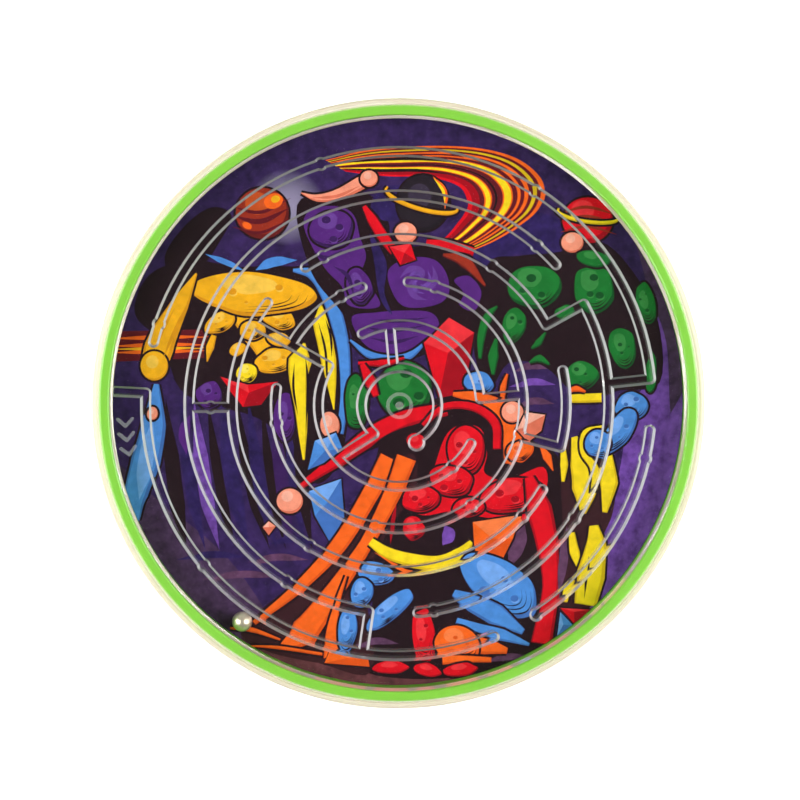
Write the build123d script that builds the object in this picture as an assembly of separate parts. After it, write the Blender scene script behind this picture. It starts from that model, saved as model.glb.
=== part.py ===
from build123d import *
import math
import os

# Pocket tilt maze game: a round plastic dish that holds a printed card, a clear
# cover whose underside carries the maze ribs, and one loose steel ball between them.
#
# Frame: +Z up, origin at the centre of the flat underside. Lengths are millimetres.
# Angles are degrees, counter-clockwise from +X, seen from above.

# ---- driving dimensions -------------------------------------------------------------
OUTER_R = 30.0            # the cover's skirt, the widest part
HEIGHT = 6.0              # underside of the dish to the top of the cover
FIT_GAP = 0.05            # clearance between the moulded parts

FLOOR = 1.5               # dish floor
WALL = 1.0                # dish wall
SKIRT = 0.55              # cover skirt that slips over the dish wall
SKIRT_LIFT = 0.7          # the skirt ends this far above the table
FLANGE = 1.1              # cover plate where it rests on the dish wall
SPIGOT = 0.4              # step that drops the middle of the plate into the dish
SPIGOT_LEAD = 0.28        # lead-in chamfer round the spigot
FOOT_ROUND = 0.35         # rounding round the dish's underside
RIM_ROUND = 0.4           # rounding round the top of the cover
SKIRT_ROUND = 0.15        # rounding round the skirt's lower edge
WALL_ROUND = 0.2          # rounding along the top of the dish wall

CARD = 0.3                # card thickness
CARD_GAP = 0.1            # card edge to dish wall

FIRST_RING = 3.75         # radius of the innermost ring of ribs
RING_PITCH = 4.22         # from one ring of ribs to the next
LAST_RING = 5
RIB_ROOT = 1.08           # rib width where it leaves the plate
RIB_FLARE = 0.23          # how much the rib's root spreads on each side
FLARE_HEIGHT = 0.6        # height of that spread
RIB_DRAFT = 1.0           # draft on each side of a rib below the spread
RIB_RELIEF = 0.05         # rib tip to card
PIN_PAD = 0.68            # radius of the pad that an ejector pin pushes on
END_PAD = 0.86            # radius of the pad at the end of the innermost ring
END_PAD_OFFSET = 0.27     # how far that pad sits outside its ring

BEAD_Z = 1.9              # height of the snap bead that holds the cover on
BEAD = 0.14               # how far the bead stands into its groove
BEAD_R = 0.45             # radius of the bead's section

RELIEF = 0.2              # height of the raised symbols
STROKE = 0.32             # width of their lines
CHEVRON = 0.7             # half the height of a chevron, and its depth
CHEVRON_ANGLES = (182.6, 185.6, 188.6)
TARGET_RING = 1.15        # radius of the finish symbol's ring
TARGET_DOT = 0.4

PANEL_R = 26.4            # recessed panel under the dish
PANEL = 0.2
GATE_PANEL_R = 12.0       # deeper panel round the moulding gate
GATE_PANEL = 0.15
GATE_R = 1.1
GATE = 0.1
PIN_MARK_R = 1.6          # witness marks of the dish's own ejector pins
PIN_MARK = 0.08
PIN_MARK_CIRCLE = 20.0
PIN_MARK_COUNT = 6

BALL_R = 1.0
BALL_TRACK = 26.6         # distance from the centre to the ball
BALL_ANGLE = 234.2
BALL_CLEARANCE = 0.05

# ---- worked-out dimensions ----------------------------------------------------------
FLANGE_Z = HEIGHT - FLANGE
PLATE_Z = FLANGE_Z - SPIGOT
CARD_TOP = FLOOR + CARD
RIB_TIP_Z = CARD_TOP + RIB_RELIEF
FLARE_Z = PLATE_Z - FLARE_HEIGHT
BLADE_TAPER = (FLARE_Z - RIB_TIP_Z) * math.tan(math.radians(RIB_DRAFT))
SKIRT_INNER = OUTER_R - SKIRT
DISH_OUTER = SKIRT_INNER - FIT_GAP
DISH_INNER = DISH_OUTER - WALL
DISH_TOP = FLANGE_Z - FIT_GAP
SPIGOT_R = DISH_INNER - FIT_GAP
PLATE_R = SPIGOT_R - SPIGOT_LEAD

# Maze ribs that follow a ring: (ring number, start angle, end angle).
RING_RIBS = (
    (0, 294.5, 587.7),
    (1, 4.9, 117.3),
    (1, 150.5, 331.8),
    (2, 107.5, 150.5),
    (2, 171.7, 446.0),
    (3, 28.8, 124.1),
    (3, 141.8, 329.4),
    (3, 345.3, 372.0),
    (4, 42.0, 261.6),
    (4, 275.0, 388.8),
    (5, 5.9, 165.3),
    (5, 176.9, 292.2),
    (5, 302.8, 354.2),
)
END_PAD_ANGLE = 294.5

# Maze ribs that cross a channel: (inner ring, angle there, outer ring, angle there).
CROSS_RIBS = (
    (0, 98.9, 1, 97.0),
    (0, 227.7, 1, 219.7),
    (1, 4.9, 2, 4.9),
    (1, 150.5, 3, 150.5),
    (2, 345.3, 3, 345.3),
    (3, 28.8, 4, 28.8),
    (3, 180.3, 4, 180.3),
    (4, 5.9, 5, 5.9),
    (4, 261.6, 5, 261.6),
)
START_WALL = 176.9        # the one rib that closes the outermost channel

# Ejector-pin pads on the ribs: (ring number, angle).
PIN_PADS = (
    (1, 310.6),
    (2, 73.5),
    (2, 118.0),
    (2, 187.9),
    (2, 258.6),
    (2, 305.5),
    (2, 346.5),
    (3, 56.6),
    (3, 117.0),
    (3, 237.3),
    (3, 317.7),
    (3.5, 180.3),
    (4, 49.3),
    (4, 237.3),
    (4, 279.5),
    (4, 326.9),
    (5, 57.8),
    (5, 108.0),
    (5, 161.0),
    (5, 219.2),
    (5, 303.0),
    (5, 347.6),
)


def ring_radius(ring):
    """Radius of a ring of ribs; a half number lies midway between two rings."""
    return FIRST_RING + RING_PITCH * ring


def at(radius, angle):
    """The point at a radius and an angle, in the XY plane."""
    turn = math.radians(angle)
    return Vector(radius * math.cos(turn), radius * math.sin(turn))


def disc(radius, low, high):
    """A disc on the Z axis between two heights."""
    thickness = high - low
    return Pos(0, 0, low + thickness / 2) * Cylinder(radius, thickness)


def tube(outer, inner, low, high):
    """A ring on the Z axis between two heights."""
    return disc(outer, low, high) - disc(inner, low, high)


def heading(start, end):
    """Direction from one point to another, in degrees."""
    run = end - start
    return math.degrees(math.atan2(run.Y, run.X))


def bar(start, end, width):
    """Outline of a straight bar with round ends."""
    middle = (start + end) / 2
    slot = SlotCenterToCenter((end - start).length, width)
    return Pos(middle.X, middle.Y) * Rot(0, 0, heading(start, end)) * slot


# ---- maze ribs, with a spread root and a little draft --------------------------------
def rib_edge(root):
    """One side of a rib's section, from the tip up: distance from the middle, and height."""
    blade = root - RIB_FLARE
    return [(blade - BLADE_TAPER, RIB_TIP_Z), (blade, FLARE_Z), (root, PLATE_Z)]


def rib_section():
    """Section across a rib, standing in the XY plane with the rib's height along Y."""
    edge = rib_edge(RIB_ROOT / 2)
    other = [(-across, height) for across, height in reversed(edge)]
    return Polygon(*edge, *other, align=None)


def ring_rib(radius, start, end):
    """A rib along a ring, from one angle to another."""
    section = Rot(0, 0, start) * Rot(90, 0, 0) * Pos(radius, 0) * rib_section()
    return revolve(section, Axis.Z, end - start)


def straight_rib(start, end):
    """A straight rib between two points."""
    section = Pos(start) * Rot(0, 0, heading(start, end) - 90) * Rot(90, 0, 0) * rib_section()
    run = end - start
    return extrude(section, run.length, dir=run)


def peg(point, radius):
    """A round peg: the end of a rib, or a pad on it."""
    half = Polygon((0, RIB_TIP_Z), *rib_edge(radius), (0, PLATE_Z), align=None)
    return Pos(point.X, point.Y) * revolve(Rot(90, 0, 0) * half, Axis.Z)


def maze_ribs():
    """Every rib of the maze, with its round ends and its pads."""
    ribs = [peg(at(ring_radius(0) + END_PAD_OFFSET, END_PAD_ANGLE), END_PAD)]
    for ring, start, end in RING_RIBS:
        radius = ring_radius(ring)
        ribs.append(ring_rib(radius, start, end))
        ribs.append(peg(at(radius, start), RIB_ROOT / 2))
        ribs.append(peg(at(radius, end), RIB_ROOT / 2))
    for inner, inner_angle, outer, outer_angle in CROSS_RIBS:
        near = at(ring_radius(inner), inner_angle)
        far = at(ring_radius(outer), outer_angle)
        ribs.append(straight_rib(near, far))
    for ring, angle in PIN_PADS:
        ribs.append(peg(at(ring_radius(ring), angle), PIN_PAD))
    edge = at(PLATE_R - FIT_GAP, START_WALL)
    ribs.append(straight_rib(at(ring_radius(LAST_RING), START_WALL), edge))
    return ribs


def symbols():
    """Raised marks under the plate: chevrons at the start, a target at the finish."""
    marks = Circle(TARGET_RING + STROKE / 2) - Circle(TARGET_RING - STROKE / 2)
    marks += Circle(TARGET_DOT)
    channel = (ring_radius(LAST_RING) + RIB_ROOT / 2 + DISH_INNER) / 2
    lead = math.degrees(CHEVRON / channel)
    for angle in CHEVRON_ANGLES:
        tip = at(channel, angle + lead)
        marks += bar(at(channel - CHEVRON, angle), tip, STROKE)
        marks += bar(at(channel + CHEVRON, angle), tip, STROKE)
    return extrude(Pos(0, 0, PLATE_Z) * marks, RELIEF, dir=(0, 0, -1))


# ---- parts --------------------------------------------------------------------------
def snap_ring(section_radius):
    """The ring whose inner part is the cover's snap bead, or the dish's groove."""
    section = Pos(SKIRT_INNER + BEAD_R - BEAD, BEAD_Z) * Circle(section_radius)
    return revolve(Rot(90, 0, 0) * section, Axis.Z)


def maze_cover():
    """Clear cover: plate, spigot, skirt with its snap bead, ribs and symbols."""
    plate = disc(OUTER_R, FLANGE_Z, HEIGHT)
    plate = fillet(plate.edges().group_by(Axis.Z)[-1], RIM_ROUND)
    spigot = disc(SPIGOT_R, PLATE_Z, FLANGE_Z)
    spigot = chamfer(spigot.edges().group_by(Axis.Z)[0], SPIGOT_LEAD)
    skirt = tube(OUTER_R, SKIRT_INNER, SKIRT_LIFT, FLANGE_Z)
    skirt = fillet(skirt.edges().group_by(Axis.Z)[0], SKIRT_ROUND)
    skirt += snap_ring(BEAD_R) & tube(SKIRT_INNER + BEAD, DISH_INNER, 0, FLANGE_Z)
    return plate + skirt + (spigot + maze_ribs()) + symbols()


def base_tray():
    """Coloured dish with the snap groove in its wall and moulding marks underneath."""
    dish = disc(DISH_OUTER, 0, DISH_TOP)
    dish = fillet(dish.edges().group_by(Axis.Z)[0], FOOT_ROUND)
    dish -= disc(DISH_INNER, FLOOR, HEIGHT)
    dish = fillet(dish.edges().group_by(Axis.Z)[-1], WALL_ROUND)
    dish -= snap_ring(BEAD_R + FIT_GAP)
    dish -= disc(PANEL_R, 0, PANEL)
    dish -= disc(GATE_PANEL_R, PANEL, PANEL + GATE_PANEL)
    dish += disc(GATE_R, PANEL + GATE_PANEL - GATE, PANEL + GATE_PANEL)
    for number in range(PIN_MARK_COUNT):
        place = at(PIN_MARK_CIRCLE, number * 360 / PIN_MARK_COUNT)
        dish -= Pos(place.X, place.Y) * disc(PIN_MARK_R, PANEL, PANEL + PIN_MARK)
    return dish


def printed_card():
    """The card that lies on the dish floor."""
    return disc(DISH_INNER - CARD_GAP, FLOOR, CARD_TOP)


def steel_ball():
    """The loose ball, in the outermost channel."""
    place = at(BALL_TRACK, BALL_ANGLE)
    return Pos(place.X, place.Y, CARD_TOP + BALL_R + BALL_CLEARANCE) * Sphere(BALL_R)


PARTS = {
    "base_tray": base_tray,
    "printed_card": printed_card,
    "maze_cover": maze_cover,
    "steel_ball": steel_ball,
}

os.makedirs("parts", exist_ok=True)
for name, make in PARTS.items():
    export_step(make(), f"parts/{name}.step")

# The start rib stops the ball at both ends of its lap round the outermost channel.
wall_half = RIB_ROOT / 2 - RIB_FLARE
ball_stop = math.degrees((wall_half + BALL_R + BALL_CLEARANCE) / BALL_TRACK)
print("ball lap, degrees:", START_WALL + ball_stop - BALL_ANGLE, START_WALL - ball_stop + 360 - BALL_ANGLE)
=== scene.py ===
import math
import random

import bpy
import numpy as np
from mathutils import Matrix, Vector, geometry


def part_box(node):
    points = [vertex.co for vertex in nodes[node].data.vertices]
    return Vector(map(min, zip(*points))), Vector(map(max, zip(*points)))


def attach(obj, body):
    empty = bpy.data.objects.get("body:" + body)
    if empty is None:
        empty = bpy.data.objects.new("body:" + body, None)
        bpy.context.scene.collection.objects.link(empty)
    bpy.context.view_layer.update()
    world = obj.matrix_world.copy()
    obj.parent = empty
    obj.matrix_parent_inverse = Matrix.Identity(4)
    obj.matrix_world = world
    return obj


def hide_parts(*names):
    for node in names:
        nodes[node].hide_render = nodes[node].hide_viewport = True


# Pocket tilt maze game. The four pieces come from the frame. This script finishes their
# surfaces and prints the card: a comic-book asteroid storm with planets, crystals,
# comets and ribbons, made as one flat mesh whose faces carry the inks.

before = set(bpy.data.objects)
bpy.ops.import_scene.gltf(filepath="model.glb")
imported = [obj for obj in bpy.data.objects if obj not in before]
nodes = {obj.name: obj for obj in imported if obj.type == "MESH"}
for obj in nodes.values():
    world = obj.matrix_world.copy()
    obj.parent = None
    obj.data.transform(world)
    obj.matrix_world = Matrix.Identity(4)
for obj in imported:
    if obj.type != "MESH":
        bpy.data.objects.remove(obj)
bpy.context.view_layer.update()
scene = bpy.context.scene

MM = 0.001
card_low, card_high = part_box("printed_card")
cover_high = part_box("maze_cover")[1]


class Nodes:
    """Adds nodes to one new material, and links them."""

    def __init__(self, name):
        self.material = bpy.data.materials.new(name)
        self.material.use_nodes = True
        self.tree = self.material.node_tree
        self.shader = self.tree.nodes["Principled BSDF"]
        self.output = self.tree.nodes["Material Output"]

    def add(self, kind, **values):
        """A node, with its settings and socket values by name."""
        node = self.tree.nodes.new("ShaderNode" + kind)
        for key, value in values.items():
            if hasattr(node, key):
                setattr(node, key, value)
            else:
                node.inputs[key.replace("_", " ")].default_value = value
        return node

    def link(self, start, end):
        self.tree.links.new(start, end)

    def maths(self, operation, *values):
        """A Math node's output; each value is a number or another node's output."""
        node = self.add("Math", operation=operation)
        for socket, value in zip(node.inputs, values):
            if isinstance(value, (int, float)):
                socket.default_value = value
            else:
                self.link(value, socket)
        return node.outputs[0]

    def noise(self, scale, detail, roughness=0.5):
        """Noise that is fixed to the object."""
        place = self.add("TexCoord")
        noise = self.add("TexNoise", Scale=scale, Detail=detail, Roughness=roughness)
        self.link(place.outputs["Object"], noise.inputs["Vector"])
        return noise.outputs["Fac"]

    def ramp(self, value, start, end):
        """Two colours blended by a value; each stop is a place from 0 to 1 and a colour."""
        tone = self.add("ValToRGB")
        for stop, (place, colour) in zip(tone.color_ramp.elements, (start, end)):
            stop.position = place
            stop.color = (*colour, 1)
        self.link(value, tone.inputs["Fac"])
        return tone.outputs["Color"]

    def bump(self, height, strength, distance):
        """Roughens the main shader's surface by a height."""
        bump = self.add("Bump", Strength=strength, Distance=distance)
        self.link(height, bump.inputs["Height"])
        self.link(bump.outputs["Normal"], self.shader.inputs["Normal"])

    def set(self, **values):
        """Values on the sockets of the main shader."""
        for key, value in values.items():
            self.shader.inputs[key.replace("_", " ")].default_value = value


# ---- camera, lights and floor -------------------------------------------------------
CAMERA_DISTANCE = 0.265
CAMERA_TILT = 5.5                  # degrees away from straight down
CAMERA_BEARING = 115.0             # towards the upper left, from +X
CAMERA_SENSOR = 36.0
VIEW_WIDTH = 0.0782                # what the picture takes in, at the object
CAMERA_TARGET = Vector((0.0, 0.00065, cover_high.z))
FLOOR_SIZE = 1.6
SOFTBOX_PLACE = (0.34, 0.01, 0.21)  # the right one; the left one mirrors it
SOFTBOX_SIZE = (0.22, 0.42)
SOFTBOX_WATTS = 2.2
# The sky's brightness by height, from 0 at the horizon to 1 overhead.
SKY_LEVELS = (
    (0.1, (0.6, 0.6, 0.58)), (0.28, (0.14, 0.14, 0.14)), (0.88, (0.14, 0.14, 0.14)),
    (0.96, (0.03, 0.03, 0.03)),
)


def make_camera():
    """A long lens almost straight above, with +Y at the top of the picture."""
    tilt = math.radians(CAMERA_TILT)
    bearing = math.radians(CAMERA_BEARING)
    back = Vector((
        math.sin(tilt) * math.cos(bearing),
        math.sin(tilt) * math.sin(bearing),
        math.cos(tilt),
    ))
    up = (Vector((0, 1, 0)) - back * back.y).normalized()
    right = up.cross(back)
    data = bpy.data.cameras.new("camera")
    data.sensor_width = CAMERA_SENSOR
    data.lens = CAMERA_SENSOR * CAMERA_DISTANCE / VIEW_WIDTH
    data.clip_start = 0.01
    camera = bpy.data.objects.new("camera", data)
    turn = Matrix((right, up, back)).transposed().to_4x4()
    camera.matrix_world = Matrix.Translation(CAMERA_TARGET + back * CAMERA_DISTANCE) @ turn
    scene.collection.objects.link(camera)
    scene.camera = camera


def softbox(name, place):
    """A soft light aimed at the object."""
    data = bpy.data.lights.new(name, "AREA")
    data.shape = "RECTANGLE"
    data.size, data.size_y = SOFTBOX_SIZE
    data.energy = SOFTBOX_WATTS
    light = bpy.data.objects.new(name, data)
    light.location = place
    light.rotation_euler = (-Vector(place)).to_track_quat("-Z", "Y").to_euler()
    scene.collection.objects.link(light)


def make_floor():
    """White paper on a light table."""
    bpy.ops.mesh.primitive_plane_add(size=FLOOR_SIZE)
    floor = bpy.context.object
    floor.name = "floor"
    paper = Nodes("floor_paper")
    paper.set(Base_Color=(0.90, 0.90, 0.885, 1), Roughness=0.8, Specular_IOR_Level=0.1)
    paper.set(Emission_Color=(1.0, 1.0, 0.985, 1), Emission_Strength=0.45)
    floor.data.materials.append(paper.material)


def make_sky():
    """A dome that is pale at the horizon and dim overhead."""
    world = bpy.data.worlds.new("sky")
    scene.world = world
    world.use_nodes = True
    tree = world.node_tree
    way = tree.nodes.new("ShaderNodeTexCoord")
    split = tree.nodes.new("ShaderNodeSeparateXYZ")
    dome = tree.nodes.new("ShaderNodeValToRGB")
    for height, _ in SKY_LEVELS[1:-1]:
        dome.color_ramp.elements.new(height)
    for stop, (height, colour) in zip(dome.color_ramp.elements, SKY_LEVELS):
        stop.position = height
        stop.color = (*colour, 1)
    tree.links.new(way.outputs["Generated"], split.inputs[0])
    tree.links.new(split.outputs["Z"], dome.inputs["Fac"])
    tree.links.new(dome.outputs["Color"], tree.nodes["Background"].inputs["Color"])


def make_stage():
    """The floor, the sky and a soft light on each side."""
    make_floor()
    make_sky()
    x, y, z = SOFTBOX_PLACE
    softbox("softbox_left", (-x, y, z))
    softbox("softbox_right", (x, y, z))
    scene.view_settings.view_transform = "Standard"
    scene.cycles.use_denoising = True


# ---- materials of the moulded pieces and the ball ------------------------------------
LIME_DARK = (0.22, 0.58, 0.05)
LIME_LIGHT = (0.27, 0.68, 0.065)
STEEL_ROUGHNESS = (0.28, 0.38)


def give_material(node, material):
    """Gives a CAD node its material."""
    for slot in nodes[node].material_slots:
        slot.material = material


def tray_material():
    """Glossy lime polystyrene with faint flow marks."""
    m = Nodes("lime_plastic")
    m.set(Roughness=0.28, Subsurface_Weight=0.35, Subsurface_Scale=0.0008)
    m.set(Subsurface_Radius=(0.6, 1.0, 0.3))
    flow = m.noise(180.0, 3.0)
    m.link(m.ramp(flow, (0.0, LIME_DARK), (1.0, LIME_LIGHT)), m.shader.inputs["Base Color"])
    m.bump(flow, 0.08, 0.0002)
    return m.material


def ball_material():
    """Polished steel with fine handling marks."""
    m = Nodes("ball_steel")
    # The steel's warm cream tint is painted reflection of the warm surroundings that it mirrors.
    m.set(Base_Color=(0.76, 0.68, 0.52, 1), Metallic=0.9)
    smoothest, roughest = STEEL_ROUGHNESS
    rough = m.add("MapRange", To_Min=smoothest, To_Max=roughest)
    m.link(m.noise(4000.0, 4.0), rough.inputs["Value"])
    m.link(rough.outputs["Result"], m.shader.inputs["Roughness"])
    return m.material


# Where the cover is hazy, and where its pale coat is painted highlight. The spigot's chamfer
# shows as a pale line, a painted highlight. The skirt shows as a cream band that starts over
# the tray's wall. Each rib shows as a pale line on each side of its spread root, also a painted
# highlight. The lines are strongest on roots that face left or right, towards the lamps.
# Outside the ribs an upright wall is mostly clear, so that the tray shows through the skirt.
SPIGOT_LINE_R = 0.02806
FLANGE_Z = 0.0049
CHAMFER_PAINTED_HIGHLIGHT = 0.5
EDGE_HAZE = ((0.0292, 0), (0.0296, 0.5), (0.03, 0.85))     # radius and haze
WALL_SHARE = 0.3                   # how much of the haze an upright wall there has
ROOT_Z = 0.0039                    # lower end of the spread roots
STEEP = 0.6                        # how level a rib's side may be, from 0 to 1
ROOT_PAINTED_HIGHLIGHT = ((0.6, 0.18), (0.93, 0.5))                    # how far it faces X, and the strength of the painted highlight there
BLADE_HAZE = 0.1
MARK_Z = 0.0043                    # lower face of the raised chevrons and target
MARK_HAZE = 0.24
MARK_REACH = 0.02 * MM             # how far from that height a face may be
HAZE_THROUGH = 0.4                 # share of the pale coat's light, haze and painted highlight, that comes from behind it
RAY_TINT = (0.96, 0.96, 0.96, 1)
PALE_COAT_WHITE = (0.98, 0.97, 1.0, 1)
PALE_COAT_CREAM = (0.87, 0.70, 0.60, 1)


def level_share(m, facing):
    """How much of the haze and of the chamfer's painted highlight a face outside the ribs has: less the
    more upright it is.
    """
    level = m.add("MapRange", From_Min=0.0, From_Max=STEEP, To_Min=WALL_SHARE, To_Max=1.0)
    m.link(m.maths("ABSOLUTE", facing.outputs["Z"]), level.inputs["Value"])
    return level.outputs["Result"]


def edge_haze(m, away):
    """Haze that grows outwards over the tray's wall and the skirt."""
    share = m.maths("DIVIDE", away, cover_high.x)
    edge = m.add("ValToRGB")
    stops = edge.color_ramp.elements
    stops.remove(stops[0])
    for stop, (radius, pale_coat_amount) in zip((stops.new(0), stops.new(0.5), stops[-1]), EDGE_HAZE):
        stop.position = radius / cover_high.x
        stop.color = (pale_coat_amount, pale_coat_amount, pale_coat_amount, 1)
    m.link(share, edge.inputs["Fac"])
    return edge.outputs["Color"]


def rib_haze_and_painted_highlight(m, height, facing):
    """Haze on the steep sides of the ribs, and a painted highlight at their roots that is brightest where
    they face the lamps at left and right.
    """
    (away_from_x, dim), (towards_x, bright) = ROOT_PAINTED_HIGHLIGHT
    # A root's pale coat is a painted highlight. It is stronger the more the root faces X, towards the
    # lamps.
    lamp_facing_highlight = m.add("MapRange", From_Min=away_from_x, From_Max=towards_x, To_Min=dim, To_Max=bright)
    m.link(m.maths("ABSOLUTE", facing.outputs["X"]), lamp_facing_highlight.inputs["Value"])
    at_root = m.maths("GREATER_THAN", height, ROOT_Z)
    pale_coat_amount = m.maths("MAXIMUM", m.maths("MULTIPLY", lamp_facing_highlight.outputs["Result"], at_root), BLADE_HAZE)
    steep = m.maths("LESS_THAN", m.maths("ABSOLUTE", facing.outputs["Z"]), STEEP)
    return m.maths("MULTIPLY", pale_coat_amount, steep)


def cover_material():
    """Clear polystyrene: polished, with painted highlights on the rib roots and the spigot's chamfer, and a
    hazy edge.
    """
    m = Nodes("clear_plastic")
    m.set(Base_Color=(1, 1, 1, 1), Roughness=0.02, IOR=1.59, Transmission_Weight=1.0)
    place = m.add("TexCoord")
    spot = m.add("SeparateXYZ")
    m.link(place.outputs["Object"], spot.inputs[0])
    x, y, height = spot.outputs
    shape = m.add("NewGeometry")
    facing = m.add("SeparateXYZ")
    m.link(shape.outputs["Normal"], facing.inputs[0])
    away = m.maths("SQRT", m.maths("ADD", m.maths("MULTIPLY", x, x), m.maths("MULTIPLY", y, y)))
    outside = m.maths("GREATER_THAN", away, SPIGOT_LINE_R)
    # The pale line on the spigot's chamfer, below the flange, is a painted highlight.
    line = m.maths("MULTIPLY", m.maths("LESS_THAN", height, FLANGE_Z), CHAMFER_PAINTED_HIGHLIGHT)
    rim = m.maths("MULTIPLY", m.maths("MAXIMUM", line, edge_haze(m, away)), level_share(m, facing))
    mark = m.maths("MULTIPLY", m.maths("COMPARE", height, MARK_Z, MARK_REACH), MARK_HAZE)
    middle = m.maths("MAXIMUM", rib_haze_and_painted_highlight(m, height, facing), mark)
    pale_coat_amount = m.add("Mix")
    m.link(outside, pale_coat_amount.inputs["Factor"])
    m.link(middle, pale_coat_amount.inputs["A"])
    m.link(rim, pale_coat_amount.inputs["B"])
    amount = pale_coat_amount.outputs["Result"]

    tint = m.add("MixRGB", Color1=PALE_COAT_WHITE, Color2=PALE_COAT_CREAM)
    m.link(outside, tint.inputs["Fac"])
    pale_coat_shader = m.add("BsdfDiffuse", Roughness=0.0)
    glow = m.add("BsdfTranslucent")
    both = m.add("MixShader", Fac=HAZE_THROUGH)
    m.link(tint.outputs["Color"], pale_coat_shader.inputs["Color"])
    m.link(tint.outputs["Color"], glow.inputs["Color"])
    m.link(pale_coat_shader.outputs[0], both.inputs[1])
    m.link(glow.outputs[0], both.inputs[2])
    body = m.add("MixShader")
    m.link(amount, body.inputs["Fac"])
    m.link(m.shader.outputs[0], body.inputs[1])
    m.link(both.outputs[0], body.inputs[2])

    # Light on its way to what lies under the cover goes straight through.
    path = m.add("LightPath")
    clear = m.add("BsdfTransparent", Color=RAY_TINT)
    surface = body
    for ray in ("Is Diffuse Ray", "Is Shadow Ray"):
        through = m.add("MixShader")
        m.link(path.outputs[ray], through.inputs["Fac"])
        m.link(surface.outputs[0], through.inputs[1])
        m.link(clear.outputs[0], through.inputs[2])
        surface = through
    m.link(surface.outputs[0], m.output.inputs["Surface"])
    return m.material


# ---- drawing kit --------------------------------------------------------------------
# The print is drawn in millimetres, with (0, 0) at the middle of the card. Every form is
# a closed loop of points, painted in order, so that a later coat hides an earlier one.
CURVE_STEPS = 5                    # straight pieces in each span of a smooth curve
LINE = 0.22                        # the black line round each form
LIGHT = np.array((-0.45, 0.89))    # the way to the drawn light
ROCK_KNOTS = 11
ROCK_LUMPS = (0.9, 1.06)           # how far in and out a boulder's edge strays
ROCK_SHIFT = 0.22                  # how far its light tones are moved towards the light
PLAIN_ROCK = 0.9                   # boulders smaller than this have no detail
HATCH_SHADE = -0.45                # how far from the light the hatched side starts
HATCH_SHARES = (0.86, 0.72, 0.6)
HATCH_WIDTH = 0.2
HATCH_SKIP = 4
CRATERS = 3
CRATER_STRAY = 0.5
CRATER_REACH = (0.25, 0.62)
CRATER_SIZE = (0.08, 0.24)
CRATER_LIP = 0.35
OVAL_CORNERS = 28
POINTED = 0.01                     # half the width of a stroke's pointed end
WHORL_ARMS = 3
WHORL_TWIST = 3                    # radians that each arm turns through
CARD_R = card_high.x / MM

coats = []                         # (ink, loop, loops that it stays inside)
dice = random.Random(7)


def paint(ink, loop, within=()):
    coats.append((ink, np.array(loop, float), within))


def smooth(points, closed=True):
    """A smooth curve through the points."""
    knots = np.array(points, float)
    if closed:
        knots = np.vstack((knots[-1:], knots, knots[:2]))
    else:
        knots = np.vstack((2 * knots[:1] - knots[1:2], knots, 2 * knots[-1:] - knots[-2:-1]))
    curve = []
    for before, start, end, after in zip(knots, knots[1:], knots[2:], knots[3:]):
        for step in range(CURVE_STEPS):
            t = step / CURVE_STEPS
            curve.append(0.5 * (
                2 * start
                + (end - before) * t
                + (2 * before - 5 * start + 4 * end - after) * t**2
                + (3 * start - before - 3 * end + after) * t**3
            ))
    if not closed:
        curve.append(knots[-2])
    return np.array(curve)


def turned(loop, degrees, centre):
    """The loop turned about a point."""
    angle = math.radians(degrees)
    turn = np.array(((math.cos(angle), math.sin(angle)), (-math.sin(angle), math.cos(angle))))
    return (loop - centre) @ turn + centre


def oval(x, y, half_w, half_h, turn=0):
    angles = np.linspace(0, math.tau, OVAL_CORNERS, endpoint=False)
    loop = np.column_stack((x + half_w * np.cos(angles), y + half_h * np.sin(angles)))
    return turned(loop, turn, (x, y))


def grow(loop, distance):
    """The loop moved outwards by a distance."""
    loop = np.array(loop, float)
    after, before = np.roll(loop, -1, axis=0), np.roll(loop, 1, axis=0)
    along = after - before
    out = np.column_stack((along[:, 1], -along[:, 0]))
    out /= np.maximum(np.linalg.norm(out, axis=1, keepdims=True), 1e-6)
    area = np.sum(loop[:, 0] * after[:, 1] - loop[:, 1] * after[:, 0])
    return loop + out * math.copysign(distance, area)


def ribbon(points, widths):
    """A band along a smooth curve, as wide as the widths say, evenly spread along it."""
    spine = smooth(points, closed=False)
    along = np.gradient(spine, axis=0)
    along /= np.linalg.norm(along, axis=1, keepdims=True)
    side = np.column_stack((-along[:, 1], along[:, 0]))
    share = np.linspace(0, 1, len(spine))
    half = np.interp(share, np.linspace(0, 1, len(widths)), widths) / 2
    half = np.maximum(half, POINTED)[:, None]
    return np.vstack((spine + side * half, (spine - side * half)[::-1]))


def form(hue, loop, shift=0.3):
    """A form with a black line, a dark tone, its own tone and a light patch."""
    loop = np.array(loop, float)
    middle = loop.mean(axis=0)
    paint("black", grow(loop, LINE))
    paint(hue + "_dark", loop)
    paint(hue, loop + LIGHT * shift, [loop])
    paint(hue + "_light", middle + (loop - middle) * 0.45 + LIGHT * shift * 2.2, [loop])


def rock(hue, x, y, half_w, half_h, turn=0):
    """A lumpy boulder with lines on its shaded side and craters."""
    knots = []
    for knot in range(ROCK_KNOTS):
        angle = math.tau * knot / ROCK_KNOTS
        reach = dice.uniform(*ROCK_LUMPS)
        knots.append((x + half_w * reach * math.cos(angle), y + half_h * reach * math.sin(angle)))
    loop = turned(smooth(knots), turn, (x, y))
    size = min(half_w, half_h)
    form(hue, loop, ROCK_SHIFT * size)
    if size >= PLAIN_ROCK:
        hatch(loop, np.array((x, y)))
        craters(hue, loop, np.array((x, y)), (half_w, half_h), turn)


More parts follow.
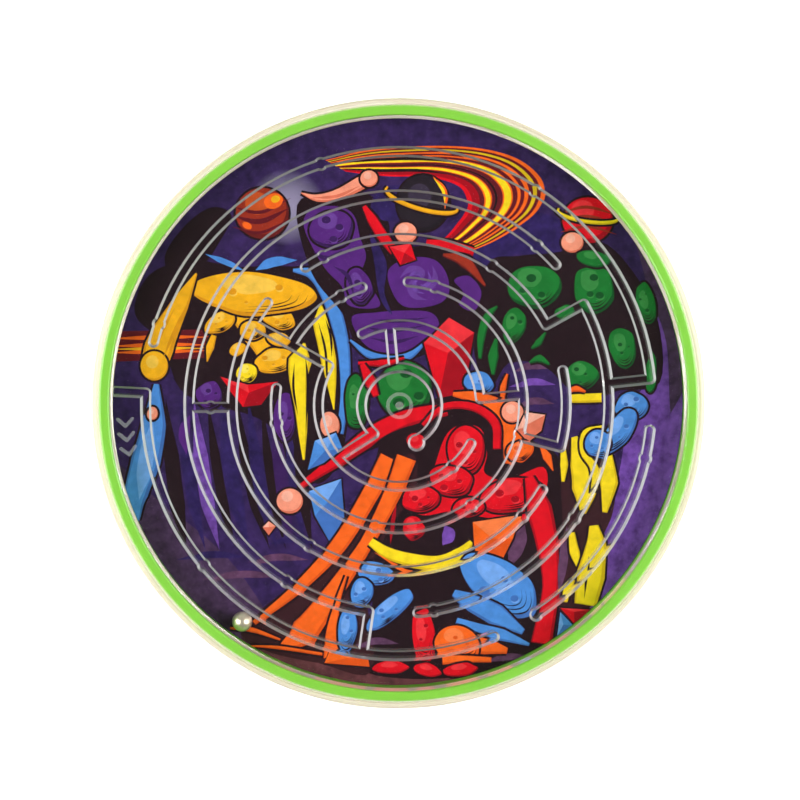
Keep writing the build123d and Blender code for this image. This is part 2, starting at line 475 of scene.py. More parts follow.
def hatch(loop, centre):
    """Lines along the side of a loop that faces away from the drawn light."""
    out = loop - centre
    lit = (out @ LIGHT) / np.linalg.norm(out, axis=1)
    order = np.roll(np.arange(len(loop)), -lit.argmax())
    shaded = out[order][lit[order] < HATCH_SHADE]
    for share in HATCH_SHARES:
        line = centre + shaded[::HATCH_SKIP] * share
        paint("black", ribbon(line, (0, HATCH_WIDTH * share, 0)), [loop])


def craters(hue, loop, centre, half_sizes, turn):
    """Craters spread round a boulder, each with a lit lip."""
    first = dice.uniform(0, math.tau)
    for crater in range(CRATERS):
        way = first + math.tau * crater / CRATERS + dice.uniform(-CRATER_STRAY, CRATER_STRAY)
        reach = dice.uniform(*CRATER_REACH)
        spot = np.array((half_sizes[0] * math.cos(way), half_sizes[1] * math.sin(way))) * reach
        spot = turned(spot, turn, (0, 0)) + centre
        width = min(half_sizes) * dice.uniform(*CRATER_SIZE)
        lip = spot - LIGHT * width * CRATER_LIP
        paint(hue + "_light", oval(*lip, width, width * 0.9), [loop])
        paint(hue + "_dark", oval(*spot, width, width * 0.8), [loop])


def flame(hue, points, widths):
    """A long bright form that tapers, with a black line and a lighter core."""
    points = np.array(points, float)
    widths = np.array(widths, float)
    loop = ribbon(points, widths)
    paint("black", ribbon(points, widths + 2 * LINE))
    paint(hue + "_dark", loop)
    paint(hue, ribbon(points + LIGHT * 0.12, widths * 0.8), [loop])


def streak(ink, points, width):
    """One brush stroke, pointed at both ends."""
    paint(ink, ribbon(points, (0, width, width, 0)))


def crystal(hue, corners, ridge):
    """A cut stone: each side has one tone, by how it faces the light."""
    paint("black", grow(corners, LINE))
    for start, end in zip(corners, corners[1:] + corners[:1]):
        out = (np.array(start) + end) / 2 - ridge
        facing = out @ LIGHT / np.linalg.norm(out)
        tone = "_light" if facing > 0.55 else "" if facing > -0.35 else "_dark"
        paint(hue + tone, (ridge, start, end))


def planet_ring(hue, x, y, half_w, half_h, turn, width):
    """The near half of the thin ring round a planet."""
    angles = np.radians(np.linspace(165, 375, 9))
    path = np.column_stack((x + half_w * np.cos(angles), y + half_h * np.sin(angles)))
    flame(hue, turned(path, turn, (x, y)), (0.15, width, width, width, 0.15))


def whorl(ink, x, y, reach, width):
    """A spiral of brush strokes."""
    for arm in range(WHORL_ARMS):
        path = []
        for share in (0.2, 0.4, 0.6, 0.8, 1.0):
            way = math.tau * arm / WHORL_ARMS + WHORL_TWIST * share
            path.append((x + reach * share * math.cos(way), y + reach * share * math.sin(way)))
        streak(ink, path, width)


def crescent(ink, start, end, depth):
    """A shade along the card's edge, deepest halfway between two bearings."""
    share = np.linspace(0, 1, 17)
    bearings = np.radians(start + (end - start) * share)
    way = np.column_stack((np.cos(bearings), np.sin(bearings)))
    inner = way * (CARD_R - depth * np.sin(math.pi * share))[:, None]
    paint(ink, np.vstack((way * (CARD_R + 1), inner[::-1])))


def stripes(outer, inner, bands):
    """Coloured bands side by side, between two smooth curves with matching points."""
    outer, inner = smooth(outer, closed=False), smooth(inner, closed=False)
    start = 0.0
    for ink, end in bands:
        first = outer + (inner - outer) * start
        last = outer + (inner - outer) * end
        paint(ink, np.vstack((first, last[::-1])))
        start = end


# ---- the picture --------------------------------------------------------------------
# Folds of light that hang in the lower left: x at the top, bend, width and ink.
FOLDS = (
    (-23.0, 0.5, 1.5, "black"), (-21.6, 0.6, 1.2, "midnight"), (-20.2, 0.6, 1.4, "violet"),
    (-18.9, 0.7, 1.0, "black"), (-17.6, 0.7, 1.5, "midnight"), (-16.0, 0.8, 1.1, "black"),
    (-14.9, 0.7, 1.3, "midnight"), (-13.6, 0.6, 0.9, "black"), (-12.4, 0.5, 1.3, "purple_dark"),
    (-11.2, 0.5, 0.9, "midnight"), (-10.2, 0.4, 1.2, "black"),
)
# Long thin clouds low in the sky: x, y, length and ink.
CLOUDS = (
    (-22, -15.5, 7, "midnight"), (-19.5, -17.5, 8, "plum"), (-15, -15.8, 6, "plum"),
    (-13, -14, 5, "midnight"), (8.6, -26, 5, "plum"), (-4.5, -24.3, 4.5, "plum"),
    (11, 1.6, 4.6, "violet"), (11.4, 3.2, 3.4, "plum"), (11.5, -0.3, 4, "plum"),
)
SWOOSH_BANDS = (
    ("orange", 0.06), ("maroon", 0.11), ("yellow_dark", 0.16), ("maroon", 0.21), ("orange", 0.26),
    ("maroon", 0.31), ("orange", 0.35), ("maroon", 0.41), ("orange", 0.43), ("yellow", 0.52),
    ("orange", 0.54), ("maroon", 0.61), ("black", 0.64), ("maroon", 0.68), ("orange", 0.70),
    ("yellow", 0.76), ("orange", 0.78), ("maroon", 0.84), ("red_dark", 0.94), ("red", 1.0),
)


def draw_background():
    """Dark masses, folds of light and the glow, behind everything else."""
    crescent("dusk", 192, 252, 5.4)
    crescent("rust", 236, 304, 2.0)
    crescent("dusk", -14, 34, 2.0)
    crescent("violet", -50, 2, 4.5)
    paint("violet", smooth((
        (25.2, 9.5), (26.6, 6), (27, 0), (27.3, -6), (26, -11.5), (23.2, -16.3), (20.6, -19.3),
        (20, -15), (20.8, -11), (22, -7), (22.6, -3), (22.8, -1), (25, 3), (24.8, 7),
    )))
    paint("glow", oval(-11.2, 19.2, 4.6, 4.2))
    paint("black", smooth((
        (-26, 9), (-24.5, 12.8), (-20.5, 14.2), (-16, 13.6), (-11, 13.6), (-8.3, 13), (-5.4, 9),
        (-4.8, 2), (-5.6, -5), (-8, -8), (-11, -5.6), (-13, -2), (-18, 0), (-21.6, 1.5), (-23.3, 6),
    )))
    paint("black", smooth((
        (-23, 14.6), (-21, 17.6), (-18.4, 19.4), (-16.4, 18.6), (-17.6, 16), (-19.4, 13.6), (-22, 12.4),
    )))
    paint("midnight", smooth((
        (7, 15.8), (10.8, 18.8), (15, 18.6), (16.6, 17.2), (16.2, 15.2), (14, 14.6), (11, 14.6),
        (9.2, 12), (8.4, 12.6),
    )))
    paint("black", smooth((
        (8.6, 13.6), (12, 14.6), (16, 15), (20, 16), (23.4, 12.8), (25.8, 8), (26, 2), (22, 1.2),
        (18, 0.6), (14.5, 3.6), (11, 4), (9, 1.6), (7.4, 6),
    )))
    paint("black", smooth((
        (-1, -1.6), (4, 0.6), (9, 0), (12, -3), (16, -5.5), (17, -12), (16, -19), (15, -24.3),
        (8, -27.2), (0, -27.6), (-4, -26), (-2.6, -20), (-3.4, -13),
    )))
    paint("umber", smooth((
        (1.4, -5), (-2.4, -8), (-7, -15), (-15.4, -22.2), (-13.5, -24.6), (-8, -26), (-2.6, -26.8),
        (-3.2, -18), (-0.6, -12), (1.6, -9),
    )))
    paint("umber", smooth((
        (16.4, -4), (20, -5.6), (21.8, -6.4), (21.4, -11), (20.3, -14), (20.6, -18), (18.6, -21),
        (16, -20.6), (16.4, -14),
    )))
    for x, bend, width, ink in FOLDS:
        streak(ink, ((x, 0.5), (x + bend, -5), (x + 2.2 * bend, -10), (x + 4 * bend, -14.5)), width)
    for x, y, length, ink in CLOUDS:
        streak(ink, ((x, y), (x + length / 2, y + 0.5), (x + length, y + 0.2)), 0.7)


def draw_upper_left():
    """The ember planet, the amber asteroids, flames and the long blue ribbon."""
    paint("maroon", ((-28.3, 7.2), (-18.6, 7.4), (-18.6, 4.6), (-28.3, 4.2)))
    for y in (5.1, 5.75, 6.5):
        streak("orange", ((-28.4, y), (-24, y + 0.1), (-18.6, y + 0.2)), 0.42)
    streak("amber", ((-28.4, 5.45), (-24, 5.5), (-18.6, 5.6)), 0.3)

    planet = oval(-13.4, 18.8, 2.6, 2.5)
    form("ember", planet, 0.5)
    for reach, width in ((0.4, 0.5), (1.3, 0.35), (-0.7, 0.3)):
        streak("maroon", ((-16.4, 18.2 + reach), (-13.6, 17.6 + reach), (-10.6, 19 + reach)), width)
    paint("orange", oval(-12.3, 20, 0.95, 0.75, 20), [planet])
    paint("amber", oval(-12.1, 20.2, 0.45, 0.35, 20), [planet])
    paint("orange", oval(-14.9, 17.6, 0.5, 0.32, -30), [planet])

    streak("blue", ((-19, 14.8), (-17, 14), (-15.2, 13.2)), 0.55)
    streak("blue", ((-14.1, 13.2), (-12.4, 14), (-10, 14.2)), 0.95)
    flame("amber", ((-16.4, 9.6), (-14.2, 7), (-12.6, 3.4)), (1.6, 2.4, 0.8))
    rock("amber", -11.9, 8.5, 1.9, 1.1, -24)
    rock("amber", -17.6, 8.1, 1.7, 1.0, 28)
    rock("amber", -14.2, 10.9, 6.0, 2.15, -4)
    rock("amber", -14.4, 7.3, 1.3, 0.95, 12)
    rock("amber", -12.2, 4.3, 2.1, 1.2, 10)
    rock("amber", -11.8, 6.4, 1.2, 0.7, -10)
    rock("amber", -15.9, 5.4, 0.9, 0.6, 30)
    flame("amber", ((-24.3, 3.3), (-23.4, 6.2), (-21.9, 9.2), (-19.9, 12.9)), (2.4, 2.9, 2.4, 1.7, 0.2))
    form("amber", oval(-24.1, 3.8, 1.35, 1.45), 0.2)
    for points in (
        ((-23.2, 4.6), (-22.2, 7), (-20.8, 10)), ((-24, 5.4), (-23.2, 7.4), (-22.1, 9.4)),
    ):
        streak("amber_dark", points, 0.3)
    flame("amber", ((-18.2, 6.8), (-18.6, 5.6), (-18.9, 4.2)), (0.5, 0.8, 0.1))
    rock("yellow", -15, 3.1, 1.1, 1.0)
    crystal("red", [(-17.6, 2.7), (-14.9, 1.9), (-11.9, 2.2), (-13.6, -0.1), (-15.4, -0.3)], (-14.8, 1.1))
    rock("purple", -18.7, 0.9, 1.3, 1.4)
    rock("purple", -11.2, -1.4, 1.15, 2.4)
    flame("yellow", ((-9.3, 6), (-9.9, 3), (-9.6, -1), (-9.4, -5.6)), (0.2, 2.3, 1.8, 1.3, 0.9, 0.2))
    flame("yellow", ((-7.7, 9.8), (-7.4, 7), (-6.8, 3.5), (-6.4, -0.6)), (0.2, 1.9, 1.6, 1.5, 0.9, 0.1))
    for points in (
        ((-9.2, 4.6), (-9, 2), (-9.2, -3)), ((-10.3, 4), (-10.4, 1.5), (-10, -1)),
        ((-7.9, 8), (-7.2, 5), (-7.1, 1)), ((-7.2, 8.4), (-6.7, 6.6), (-6.6, 4.6)),
    ):
        streak("black", points, 0.24)
    flame("blue", (
        (-10.4, 13.2), (-8.4, 12.8), (-7, 10.8), (-6, 8), (-5.4, 5), (-5.3, 1), (-5.8, -3),
    ), (0.3, 1.2, 1.4, 1.4, 1.2, 0.9, 0.7))


def draw_top():
    """The black moon in its striped swoosh, and the purple nebula below it."""
    stripes(
        ((-7.2, 24), (-3.5, 24.9), (0, 25.3), (5, 25.4), (9, 25), (12, 24), (14, 22.3), (14.4, 20.6),
         (13.6, 18.9), (11.6, 17.3), (9.4, 16), (7.3, 15.1)),
        ((-5.2, 22.9), (-3, 22.6), (-0.5, 22.4), (2.5, 22.4), (4.6, 22), (6, 21.4), (6.6, 20.6),
         (6.8, 19.6), (6.4, 18.6), (5.8, 17.8), (5, 16.8), (4, 15.9)),
        SWOOSH_BANDS,
    )
    streak("black", ((-6, 23.7), (-1, 24.1), (3, 24.1), (7, 23.6)), 0.3)
    streak("black", ((-5.6, 23.2), (-2, 23), (2, 23), (5, 22.6)), 0.3)

    paint("black", smooth((
        (-10, 19.6), (-6.4, 20.8), (-2.8, 20.6), (-1, 18), (-0.4, 15.6), (4.6, 15.6), (8.4, 13.6),
        (8.8, 10.6), (8.2, 7.6), (5, 6), (2, 4.6), (-0.8, 4), (-4, 5.6), (-5.6, 9), (-8.6, 13),
    )))
    paint("purple", smooth((
        (-9.3, 17.4), (-8.6, 19.2), (-6, 19.5), (-4.4, 18.6), (-3.8, 16.4), (-3.2, 14.6),
        (-3.6, 12.9), (-2.6, 11.4), (-1.8, 9.8), (-3, 9.4), (-5, 9.8), (-5.6, 11.6), (-7.4, 13.6),
    )))
    paint("purple", smooth((
        (-1, 13.2), (1, 14.4), (3.6, 14.2), (4.9, 12.4), (4.7, 10.4), (3, 9.6), (0.6, 9.6), (-0.6, 11),
    )))
    paint("purple", smooth((
        (-4.6, 8.6), (-2.4, 9), (0.4, 9.2), (3.2, 9), (4, 7.6), (2.6, 5.7), (0.4, 5), (-2.2, 5.2),
        (-3.8, 6.4),
    )))
    paint("purple", smooth(((5.5, 12.2), (7, 12.6), (8.2, 11), (7.4, 9.2), (6, 9.8), (6.4, 11))))
    paint("midnight", smooth(((-2.8, 16.8), (-1.2, 14), (-1.4, 11), (-0.6, 8.8), (-1.8, 10.4), (-2.4, 14))))
    rock("purple", -6.5, 17.3, 2.2, 1.9, 15)
    whorl("purple_light", 2.1, 12.1, 2.0, 0.7)
    whorl("violet", 2.1, 12.1, 1.3, 0.4)
    rock("purple", -3.9, 11.6, 1.3, 1.8, 20)
    for points, width in (
        (((-8.4, 15), (-7, 14.4), (-5.6, 15.2)), 0.5), (((-6.4, 13.6), (-5, 12.6), (-4.4, 10.6)), 0.4),
        (((-3.2, 7.6), (-0.8, 7.2), (2.6, 7.8)), 0.4), (((-2.8, 6.5), (-0.4, 6.1), (2, 6.7)), 0.35),
        (((-2.4, 8.3), (0, 8.2), (3, 8.5)), 0.3),
    ):
        streak("purple_dark", points, width)

    tail = ((-9.6, 20.8), (-8, 20.3), (-6, 20.6), (-4, 21.6), (-2.8, 22.3))
    flame("peach", tail, (0.1, 0.7, 1.1, 1.3, 1.3))
    form("peach", oval(-2.9, 22.2, 0.85, 0.8), 0.15)
    streak("peach_dark", ((-8.6, 20.3), (-6, 20.5), (-3.8, 21.5)), 0.3)
    paint("midnight", oval(-0.6, 19.8, 2.2, 1.7, 20))
    form("night", oval(2.4, 19.8, 2.55, 2.75), 0.35)
    streak("orange", ((3.4, 22.4), (4.5, 21), (4.6, 19.2)), 0.5)
    streak("yellow", ((3.5, 22.2), (4.4, 21), (4.5, 19.8)), 0.28)
    planet_ring("amber", 2.3, 20.2, 3.7, 1.0, -16, 0.42)
    form("peach", oval(0.7, 16.9, 1.1, 1.0), 0.2)
    flame("red", ((-3.4, 19.5), (-2.6, 18.2), (-1.6, 16.6), (-0.4, 15)), (0.4, 1.0, 1.1, 0.9))
    flame("red", ((2.7, 16), (5, 15.6), (7.4, 15)), (0.5, 1.1, 0.8))
    flame("ember", ((4.4, 14.7), (6.6, 14), (8.6, 11.6)), (0.3, 1.3, 0.2))
    crystal("red", [(-0.9, 15.5), (1.2, 15.8), (1.7, 14.2), (0.2, 13.7)], (0.6, 14.9))
    flame("blue", ((-4.8, 6.3), (-3, 4.9), (-0.8, 4.4), (1.2, 4.8), (3, 6.4)), (0.2, 0.7, 0.8, 0.7, 0.1))


def draw_upper_right():
    """The red planet, the green asteroids and the small bright bits beside them."""
    planet = oval(18.7, 18.1, 2.5, 2.25)
    form("red", planet, 0.5)
    for reach in (-0.7, 0.3, 1.2):
        streak("ember", ((16, 17.6 + reach), (18.6, 18.2 + reach), (21.6, 17.4 + reach)), 0.3)
    planet_ring("yellow", 18.7, 18.7, 3.1, 0.75, -8, 0.36)
    form("peach", oval(17.2, 15.9, 1.1, 1.0), 0.2)
    rock("green", 13.4, 11.5, 2.8, 2.2, -10)
    rock("green", 19.4, 11.3, 2.1, 2.5, 10)
    rock("green", 19.2, 14.3, 1.6, 0.8, -10)
    rock("green", 11.4, 7.6, 1.15, 1.9, -15)
    rock("green", 22.3, 5.4, 1.35, 2.1, 12)
    rock("green", 24.5, 9.8, 0.95, 2.2, 12)
    rock("green", 25.1, 3, 0.6, 2.1)
    rock("green", 18.2, 2.7, 1.7, 1.5)
    rock("green", 16.4, 9.1, 1.0, 0.55, 20)
    flame("green", ((9.8, 9.6), (8.8, 8.6), (8.2, 6.5), (8.1, 4.4)), (0.2, 0.9, 0.8, 0.3))
    flame("green", ((9.7, 6.4), (9.4, 4.6), (9.4, 2.8)), (0.3, 1.1, 0.3))
    flame("green", ((13.2, 5.4), (13.9, 6), (14.6, 7)), (0.2, 0.7, 0.2))
    flame("green", ((13, 4), (14, 4.4), (15, 3.8)), (0.2, 0.8, 0.2))
    flame("yellow", ((17.1, 0.4), (18.6, 0.45), (20.2, 0.5)), (0.8, 0.9, 0.9))
    flame("orange", ((17, 1.2), (17.7, 1.4), (18.6, 1.1)), (0.4, 0.6, 0.2))
    crystal("red", [(5, 8.5), (7.5, 7), (6.4, 1), (4, 0.5), (2.5, 6)], (4.9, 5))
    rock("blue", 7.9, 2, 1.5, 1.15, -10)
    flame("orange", ((10.8, 2.9), (10.4, 1.6), (10.2, 0.3)), (0.2, 0.6, 0.4))


def draw_middle():
    """The green world at the centre, with the red beam that passes below it."""
    rock("green", -4.1, 0.1, 1.2, 2.7)
    rock("green", 0.7, 1.4, 2.8, 2.9)
    flame("red", ((-4, 4), (-1.6, 4), (0.6, 4.5)), (0.3, 0.7, 0.2))
    flame("red", ((-3.6, 3.9), (-2.9, 2.4), (-2.2, 0.7)), (0.5, 1.2, 0.6))
    form("peach", oval(-6.8, -2.1, 0.95, 1.3, 10), 0.2)
    flame("orange", (
        (5.4, 0.9), (7.8, 0.5), (10, -0.6), (11.4, -3), (11, -6),
    ), (0.4, 1.3, 1.9, 2.6, 1.0))
    flame("red", (
        (4.8, -0.6), (0.8, -1.5), (-2.6, -3.2), (-6, -5.6), (-9.8, -8.2),
    ), (1.3, 1.7, 1.9, 1.3, 0.5))
    streak("black", ((3.4, -1.8), (-0.4, -3.2), (-3.4, -4.9)), 0.8)
    form("peach", oval(-10.8, -9.7, 1.3, 1.25), 0.25)
    crystal("peach", [(-12.9, -11.7), (-12.2, -12.2), (-12.9, -13.1), (-13.5, -12.3)], (-12.9, -12.3))


def draw_lower_left():
    """The blue ribbon at the edge, cut stones and the orange trails."""
    flame("blue", (
        (-23.9, 2), (-24.2, -2), (-25, -5.6), (-26, -9), (-25.8, -11.6),
    ), (0.5, 2.4, 2.9, 2.3, 0.2))
    streak("blue_light", ((-24.3, -1.6), (-25, -5.6), (-25.7, -9.5)), 1.5)
    form("peach", oval(-24.3, -0.9, 0.5, 0.65), 0.1)
    streak("purple", ((-20.6, -1), (-21.2, -2.8), (-21, -5)), 1.1)
    crystal("blue", [(-8.3, -3.7), (-6.2, -2.9), (-5.6, -4.4), (-7.4, -5.9), (-9, -6.6)], (-7.2, -4.6))
    crystal("blue", [(-8.9, -8.6), (-5.7, -7.5), (-5.4, -11.4), (-6.8, -13.9), (-8.3, -11.2)], (-7, -9.6))
    flame("orange", (
        (-0.9, -5.4), (-3, -9.4), (-6, -14.2), (-10, -18.4), (-14.4, -21.9),
    ), (1.9, 1.7, 1.6, 1.1, 0.5))
    flame("orange", (
        (0.8, -5.4), (-0.6, -9), (-3.2, -14), (-6.3, -18.6), (-9.4, -22.8), (-11.8, -24.4),
    ), (2.0, 1.7, 1.3, 1.8, 2.8, 0.4))
    flame("orange", ((-5.2, -17.2), (-6.1, -20), (-6.6, -23), (-6.4, -25.4)), (0.2, 0.5, 1.3, 2.2))
    crystal("orange", [(-6.8, -24.6), (-3.1, -25.2), (-2.9, -26.4), (-7.4, -26)], (-5, -25.5))
    flame("orange", ((-16.8, -22.4), (-14.6, -22.6), (-11.8, -23.6)), (0.2, 0.5, 0.2))
    flame("orange", ((-15.2, -24.2), (-12, -24.4), (-7.6, -25.1)), (0.1, 0.35, 0.3))
    flame("yellow", (
        (-2.8, -13.8), (-1, -15), (1.5, -15.7), (4, -15.9), (6, -15.1), (7.3, -13.9),
    ), (0.8, 1.2, 1.3, 1.3, 1.2, 0.5))
    streak("orange", ((-2.4, -14.9), (1.4, -16.8), (6.4, -16)), 0.35)


def draw_bottom():
    """The heap of red rocks with blue and orange ones round it."""
    flame("red", ((2.4, -2.2), (4.4, -0.4), (7.4, -0.4), (9.6, -2), (9.8, -4.6)), (0.4, 0.7, 0.8, 0.9, 0.8))
    paint("red", smooth((
        (4.6, -3.4), (6.2, -2.2), (8.2, -2.6), (8.8, -5), (8.6, -7), (11, -7.6), (14.4, -6.4), (14.6, -9),
        (12, -11.6), (8.4, -11.4), (5.4, -10.8), (2.6, -11.2), (0.4, -10.4), (0.8, -8.4), (3, -7.6),
    )))
    rock("red", 6.8, -4.7, 1.9, 2.4)
    rock("red", 5.2, -7.8, 2.3, 1.6, -15)
    rock("red", 2.2, -9.6, 1.9, 1.4, 10)
    rock("red", 1.5, -12.5, 1.15, 1.2)
    rock("red", 11.2, -9.2, 3.4, 1.8, 12)
    rock("red", 7, -10.4, 1.6, 1.0)
    form("red", oval(1.7, -3.7, 0.9, 0.75), 0.15)
    streak("red_dark", ((-0.2, -10), (-0.6, -12), (-0.8, -14)), 0.4)
    streak("violet", ((4.6, -12.2), (5, -13.2), (4.4, -14.2)), 1.3)
    form("peach", oval(11.3, -0.9, 1.05, 1.05), 0.15)
    crystal("peach", [(12.5, -0.9), (14.6, -1.2), (14.2, -2.8), (12.8, -3.8), (11.7, -2.6)], (13.1, -2))
    rock("orange", 12.1, -4.8, 1.4, 1.1, 20)
    flame("orange", ((14.2, -4.4), (14.8, -5.4), (15.4, -6.8)), (0.3, 0.9, 0.1))
    flame("red", (
        (13, -7.4), (14, -10.6), (14.8, -14), (15.2, -18.5), (14.3, -24.2),
    ), (0.9, 2.6, 2.2, 1.6, 2.1))
    streak("plum", ((12.6, -12.2), (11.9, -14.2), (11, -16.6)), 1.5)
    streak("plum", ((16.7, -12.2), (16.5, -15.6), (16, -19.4)), 0.9)
    crystal("orange", [(7.4, -11.9), (12.2, -11.2), (11.4, -13.6), (10.3, -15.8), (7.6, -15)], (9.2, -13.4))

    rock("blue", 10.2, -18.4, 4.6, 2.5, -40)
    flame("blue", ((5.5, -19), (7.4, -20), (9.8, -21.3), (12.5, -23)), (0.7, 1.9, 2.2, 0.6))
    flame("blue", ((5.8, -21.8), (8, -22.6), (10.4, -23.3), (13.1, -24.3)), (0.6, 1.0, 1.2, 0.3))
    rock("blue", -2.2, -17, 1.9, 1.2, -10)
    rock("blue", -3.6, -18.9, 1.1, 1.5, -10)
    rock("blue", -0.9, -20.7, 3.0, 1.1, 38)
    rock("blue", -5.1, -22.6, 1.0, 2.2, -6)
    rock("red", 2.5, -23.2, 1.2, 2.8, 4)
    flame("orange", ((6.8, -24), (8.8, -24.4), (10.9, -24.9)), (2.2, 1.7, 0.6))
    rock("orange", 6, -24.1, 2.3, 1.7, -10)
    flame("orange", ((4.4, -25.8), (6.6, -25.7), (9.3, -25.8)), (0.9, 0.7, 0.5))
    rock("red", 6.2, -26.8, 1.7, 0.7, 6)
    rock("red", 2.9, -26.8, 1.4, 0.7, -15)
    rock("red", -0.8, -26.5, 1.8, 0.65)


def draw_lower_right():
    """Yellow flames and blue rocks at the right edge."""
    flame("yellow", ((16.4, -4.6), (16.5, -6.2), (16.4, -7.9)), (0.5, 0.8, 0.3))
    flame("yellow", ((17.5, -3.4), (18.2, -6), (18.6, -8.6), (18.4, -11.1)), (0.6, 2.2, 2.6, 0.6))
    flame("yellow", (
        (20.3, -2.4), (18.6, -3), (18.4, -4.9), (19.5, -6.6), (19.3, -9),
    ), (0.3, 0.6, 0.6, 0.8, 0.5))
    flame("yellow", ((21, -5.2), (21, -8), (20.6, -11)), (0.6, 1.8, 0.5))
    flame("yellow", ((17.3, -13), (17.6, -15), (18.3, -17)), (0.6, 1.0, 0.4))
    flame("yellow", ((19.5, -12.3), (19.7, -14.4), (19.2, -17.4), (18.7, -20.3)), (0.9, 2.0, 2.9, 2.2))
    flame("yellow", ((17.4, -17.6), (16.8, -18.8), (16.6, -20)), (0.3, 0.9, 0.6))
    streak("black", ((19, -15.4), (18.8, -17.4), (18.6, -19.6)), 0.25)
    rock("blue", 23.2, -0.4, 1.65, 1.4, 30)
    rock("blue", 21.8, -3, 1.3, 2.9, -38)
    rock("blue", 19.9, -4.1, 1.3, 1.4)
    crystal("red", [(16.2, -20.6), (19.2, -20.8), (17.6, -22.2)], (17.6, -21))
    crystal("blue", [(16.2, -21), (17.5, -22.4), (15.9, -23.4)], (16.5, -22.3))


# ---- inks and card ------------------------------------------------------------------
# Each ink is three numbers from 0 to 255, as on a screen.
INKS = {
    "indigo": (50, 32, 80), "dusk": (70, 48, 80), "rust": (98, 54, 60), "black": (30, 14, 20),
    "umber": (54, 26, 32), "plum": (92, 58, 88), "midnight": (44, 30, 84), "violet": (108, 68, 156),
    "maroon": (98, 22, 32),
    "night_dark": (28, 22, 28), "night": (36, 28, 36), "night_light": (58, 48, 66),
    "purple_dark": (56, 28, 84), "purple": (86, 38, 122), "purple_light": (104, 62, 146),
    "amber_dark": (226, 152, 24), "amber": (250, 180, 28), "amber_light": (252, 200, 76),
    "yellow_dark": (222, 184, 24), "yellow": (252, 220, 32), "yellow_light": (253, 232, 90),
    "orange_dark": (226, 84, 24), "orange": (252, 104, 30), "orange_light": (253, 128, 68),
    "red_dark": (166, 10, 28), "red": (226, 14, 32), "red_light": (244, 52, 60),
    "ember_dark": (104, 28, 26), "ember": (156, 48, 30), "ember_light": (206, 84, 36),
    "blue_dark": (66, 112, 186), "blue": (78, 142, 220), "blue_light": (118, 170, 240),
    "green_dark": (16, 78, 34), "green": (26, 116, 46), "green_light": (56, 138, 66),
    "peach_dark": (226, 116, 88), "peach": (252, 156, 126), "peach_light": (253, 180, 156),
}
STOCK_WHITE = (232, 230, 224)      # the card's edge and back
INK_STRENGTH = 0.95                # how much of that light the card gives back
INK_MOTTLE = (0.82, 1.12)          # brightness where the ink is thin and where it is thick
SKY_MOTTLE = (0.55, 1.5)           # the dark sky is printed more unevenly than the rest
SKY_INKS = ("indigo", "dusk", "rust", "midnight", "plum", "violet")
MOTTLE_SPAN = (0.3, 0.7)           # the noise levels that are thin ink and thick ink
GLOW_CENTRE = (-11.0, 19.4, 0)
GLOW_R = 4.2
GLOW_STRENGTH = 0.8
GLOW_LILAC = (0.62, 0.56, 0.78, 1)
RING_CORNERS = 180
JOIN_DISTANCE = 0.002              # outlines closer than this, in mm, share a corner


def linear(level):
    """A screen level from 0 to 255 as the light that it stands for, by the sRGB formula."""
    share = level / 255
    return share / 12.92 if share <= 0.04045 else ((share + 0.055) / 1.055) ** 2.4


def ink_material(name, colour, mottle=INK_MOTTLE):
    """Ink on coated card: a little uneven, with the grain of the card under it."""
    m = Nodes("ink_" + name)
    m.set(Roughness=0.5, Specular_IOR_Level=0.08)
    colour = np.array([linear(level) for level in colour]) * INK_STRENGTH
    thin, thick = ((place, colour * share) for place, share in zip(MOTTLE_SPAN, mottle))
    blotch = m.noise(900.0, 5.0, 0.65)
    m.link(m.ramp(blotch, thin, thick), m.shader.inputs["Base Color"])
    m.bump(m.noise(7000.0, 2.0), 0.15, 0.00003)
    return m


def glow_material():
    """The indigo ink fading to a pale lilac light round one point."""
    m = ink_material("glow", INKS["indigo"], SKY_MOTTLE)
    indigo = m.shader.inputs["Base Color"].links[0].from_socket
    place = m.add("TexCoord")
    away = m.add("VectorMath", operation="DISTANCE")
    away.inputs[1].default_value = Vector(GLOW_CENTRE) * MM
    m.link(place.outputs["Object"], away.inputs[0])
    strength = m.add(
        "MapRange", From_Min=0.0, From_Max=GLOW_R * MM, To_Min=GLOW_STRENGTH, To_Max=0.0
    )
    m.link(away.outputs["Value"], strength.inputs["Value"])
    mix = m.add("MixRGB", Color2=GLOW_LILAC)
    m.link(strength.outputs["Result"], mix.inputs["Fac"])
    m.link(indigo, mix.inputs["Color1"])
    m.link(mix.outputs["Color"], m.shader.inputs["Base Color"])
    return m


def inside(loop, points):
    """Which of the points lie in the loop: those that it winds round."""
    low, high = loop.min(axis=0), loop.max(axis=0)
    near = np.flatnonzero(np.all((points >= low) & (points <= high), axis=1))
    x, y = points[near, 0], points[near, 1]
    turns = np.zeros(len(near), int)
    for start, end in zip(loop, np.roll(loop, -1, axis=0)):
        left = (end[0] - start[0]) * (y - start[1]) - (x - start[0]) * (end[1] - start[1])
        turns += (start[1] <= y) & (end[1] > y) & (left > 0)
        turns -= (start[1] > y) & (end[1] <= y) & (left < 0)
    found = np.zeros(len(points), bool)
    found[near] = turns != 0
    return found


def boundary(faces):
    """The corners round the outside of a flat mesh, in order."""
    sides = np.vstack((faces[:, [0, 1]], faces[:, [1, 2]], faces[:, [2, 0]])).tolist()
    twins = {(end, start) for start, end in sides}
    after = {start: end for start, end in sides if (start, end) not in twins}
    loop = [next(iter(after))]
    while after[loop[-1]] != loop[0]:
        loop.append(after[loop[-1]])
    return loop


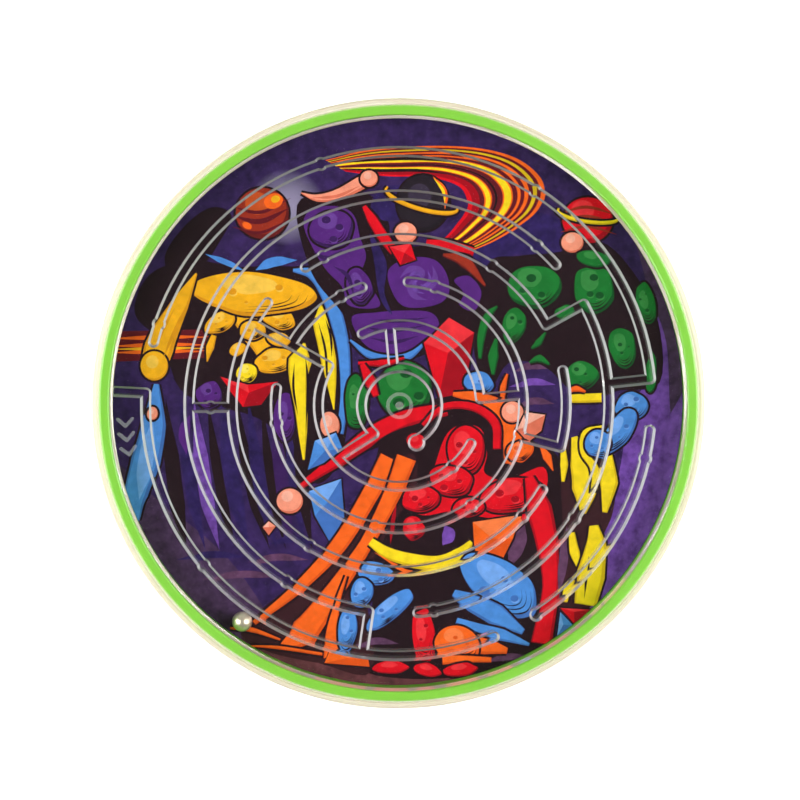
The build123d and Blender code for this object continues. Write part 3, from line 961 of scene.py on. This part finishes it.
def cut_card():
    """The card's round top, cut along the outline of every coat: its corners and faces."""
    angles = np.linspace(0, math.tau, RING_CORNERS, endpoint=False)
    ring = np.column_stack((np.cos(angles), np.sin(angles))) * CARD_R
    corners, edges = [], []
    for loop in [ring] + [coat[1] for coat in coats]:
        first = len(corners)
        corners.extend(Vector(point) for point in loop)
        edges.extend((first + i, first + (i + 1) % len(loop)) for i in range(len(loop)))
    flat, _, faces, *_ = geometry.delaunay_2d_cdt(corners, edges, [], 0, JOIN_DISTANCE)
    points = np.array([tuple(point) for point in flat])
    faces = np.array([tuple(face) for face in faces])
    faces = faces[inside(ring, points[faces].mean(axis=1))]
    kept, faces = np.unique(faces, return_inverse=True)
    return points[kept], faces.reshape(-1, 3)


def ink_of_faces(centres, names):
    """The number of the last coat that covers each face."""
    inks = np.zeros(len(centres), int)
    for ink, loop, within in coats:
        covered = inside(loop, centres)
        for fence in within:
            covered &= inside(fence, centres)
        inks[covered] = names.index(ink)
    return inks


def card_mesh(points, faces):
    """The cut top with a wall down from its edge and a flat back, as one closed mesh."""
    low, high = card_low.z, card_high.z
    rim = boundary(faces)
    top = [(x * MM, y * MM, high) for x, y in points]
    foot = [(*top[corner][:2], low) for corner in rim]
    first = len(top)
    middle = first + len(foot)
    walls, back = [], []
    for i in range(len(rim)):
        j = (i + 1) % len(rim)
        walls.append((rim[j], rim[i], first + i, first + j))
        back.append((middle, first + j, first + i))
    mesh = bpy.data.meshes.new("card_print")
    mesh.from_pydata(top + foot + [(0, 0, low)], [], faces.tolist() + walls + back)
    return mesh, len(walls) + len(back)


def card_inks(names):
    """A material for each ink, and one for the bare stock."""
    made = []
    for name in names:
        if name == "glow":
            made.append(glow_material())
        elif name == "stock":
            made.append(ink_material(name, STOCK_WHITE))
        else:
            made.append(ink_material(name, INKS[name], SKY_MOTTLE if name in SKY_INKS else INK_MOTTLE))
    return [m.material for m in made]


def make_card():
    """The printed card, which takes the place of the plain one in the frame."""
    names = ["indigo", "glow"] + [name for name in INKS if name != "indigo"] + ["stock"]
    points, faces = cut_card()
    inks = ink_of_faces(points[faces].mean(axis=1), names)
    mesh, bare = card_mesh(points, faces)
    for material in card_inks(names):
        mesh.materials.append(material)
    mesh.polygons.foreach_set("material_index", list(inks) + [names.index("stock")] * bare)
    mesh.validate()
    mesh.update()
    card = bpy.data.objects.new("card_print", mesh)
    scene.collection.objects.link(card)
    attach(card, "case")
    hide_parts("printed_card")


make_camera()
make_stage()
give_material("base_tray", tray_material())
give_material("steel_ball", ball_material())
give_material("maze_cover", cover_material())
draw_background()
draw_upper_left()
draw_top()
draw_upper_right()
draw_middle()
draw_lower_left()
draw_bottom()
draw_lower_right()
make_card()
